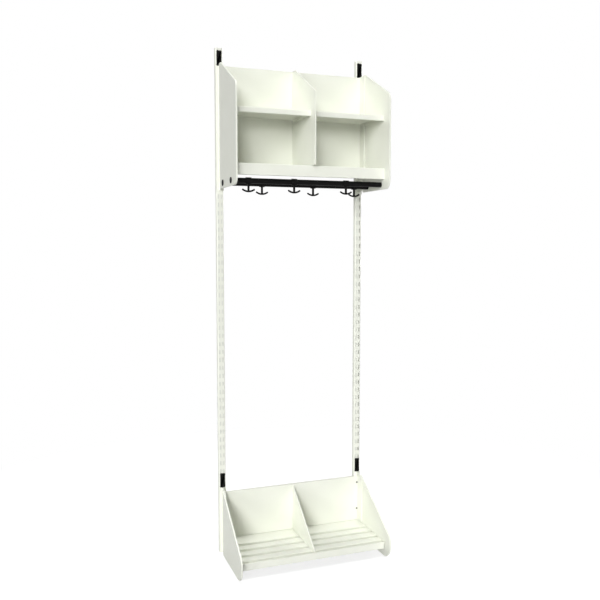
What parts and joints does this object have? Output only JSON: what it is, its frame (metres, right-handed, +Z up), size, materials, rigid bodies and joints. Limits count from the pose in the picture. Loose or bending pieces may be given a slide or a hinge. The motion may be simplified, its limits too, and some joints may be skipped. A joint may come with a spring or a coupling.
{
  "type": "kids cloakroom unit",
  "caption": "Steel cloakroom unit for children: two slotted wall rails carry a pigeonhole unit with coat hooks and, at the floor, a shoe unit with a grooved tray.",
  "frame": {"origin": "on the floor, under the middle of the unit's bounding box", "axes": "+Z up, +Y towards the wall, +X to the right of someone who faces the unit"},
  "size_m": [0.617, 0.325, 1.984],
  "materials": {
    "powder_coated_steel": "smooth satin powder coat, cream white",
    "black_painted_steel": "satin black powder coat",
    "black_plastic": "moulded black plastic, matt",
    "dark_steel": "dark zinc-plated screw"
  },
  "bodies": {
    "unit": {"left_rail": "powder_coated_steel", "right_rail": "powder_coated_steel", "upper_left_bracket": "powder_coated_steel", "shoe_left_bracket": "powder_coated_steel", "upper_left_side": "powder_coated_steel", "shoe_left_side": "powder_coated_steel", "left_mid_shelf": "powder_coated_steel", "upper_right_bracket": "powder_coated_steel", "shoe_right_bracket": "powder_coated_steel", "upper_right_side": "powder_coated_steel", "shoe_right_side": "powder_coated_steel", "right_mid_shelf": "powder_coated_steel", "upper_back": "powder_coated_steel", "upper_divider": "powder_coated_steel", "bottom_shelf": "powder_coated_steel", "shoe_tray": "powder_coated_steel", "shoe_divider": "powder_coated_steel", "shoe_back": "powder_coated_steel", "front_tube": "black_painted_steel", "front_left_cap": "black_plastic", "front_right_cap": "black_plastic", "rear_tube": "black_painted_steel", "rear_left_cap": "black_plastic", "rear_right_cap": "black_plastic", "shoe_back_screw_1": "dark_steel", "shoe_back_screw_2": "dark_steel", "shoe_back_screw_3": "dark_steel", "shoe_back_screw_4": "dark_steel"},
    "hook_1_body": {"hook_1": "black_plastic"},
    "hook_2_body": {"hook_2": "black_plastic"},
    "hook_3_body": {"hook_3": "black_plastic"},
    "hook_4_body": {"hook_4": "black_plastic"},
    "hook_5_body": {"hook_5": "black_plastic"},
    "hook_6_body": {"hook_6": "black_plastic"},
    "upper_left_clip_body": {"upper_left_clip": "black_plastic"},
    "upper_right_clip_body": {"upper_right_clip": "black_plastic"},
    "lower_left_clip_body": {"lower_left_clip": "black_plastic"},
    "lower_right_clip_body": {"lower_right_clip": "black_plastic"}
  },
  "joints": [
    {"name": "hook_1_slide", "type": "slide", "parent": "unit", "child": "hook_1_body", "axis": [1, 0, 0], "range_m": [-0.03, 0.058]},
    {"name": "hook_2_slide", "type": "slide", "parent": "unit", "child": "hook_2_body", "axis": [1, 0, 0], "range_m": [-0.058, 0.076]},
    {"name": "hook_3_slide", "type": "slide", "parent": "unit", "child": "hook_3_body", "axis": [1, 0, 0], "range_m": [-0.058, 0.076]},
    {"name": "hook_4_slide", "type": "slide", "parent": "unit", "child": "hook_4_body", "axis": [1, 0, 0], "range_m": [-0.076, 0.058]},
    {"name": "hook_5_slide", "type": "slide", "parent": "unit", "child": "hook_5_body", "axis": [1, 0, 0], "range_m": [-0.076, 0.058]},
    {"name": "hook_6_slide", "type": "slide", "parent": "unit", "child": "hook_6_body", "axis": [1, 0, 0], "range_m": [-0.058, 0.03]},
    {"name": "upper_left_clip_pull", "type": "slide", "parent": "unit", "child": "upper_left_clip_body", "axis": [0, -1, 0], "range_m": [0, 0.014]},
    {"name": "upper_right_clip_pull", "type": "slide", "parent": "unit", "child": "upper_right_clip_body", "axis": [0, -1, 0], "range_m": [0, 0.014]},
    {"name": "lower_left_clip_pull", "type": "slide", "parent": "unit", "child": "lower_left_clip_body", "axis": [0, -1, 0], "range_m": [0, 0.014]},
    {"name": "lower_right_clip_pull", "type": "slide", "parent": "unit", "child": "lower_right_clip_body", "axis": [0, -1, 0], "range_m": [0, 0.014]}
  ]
}
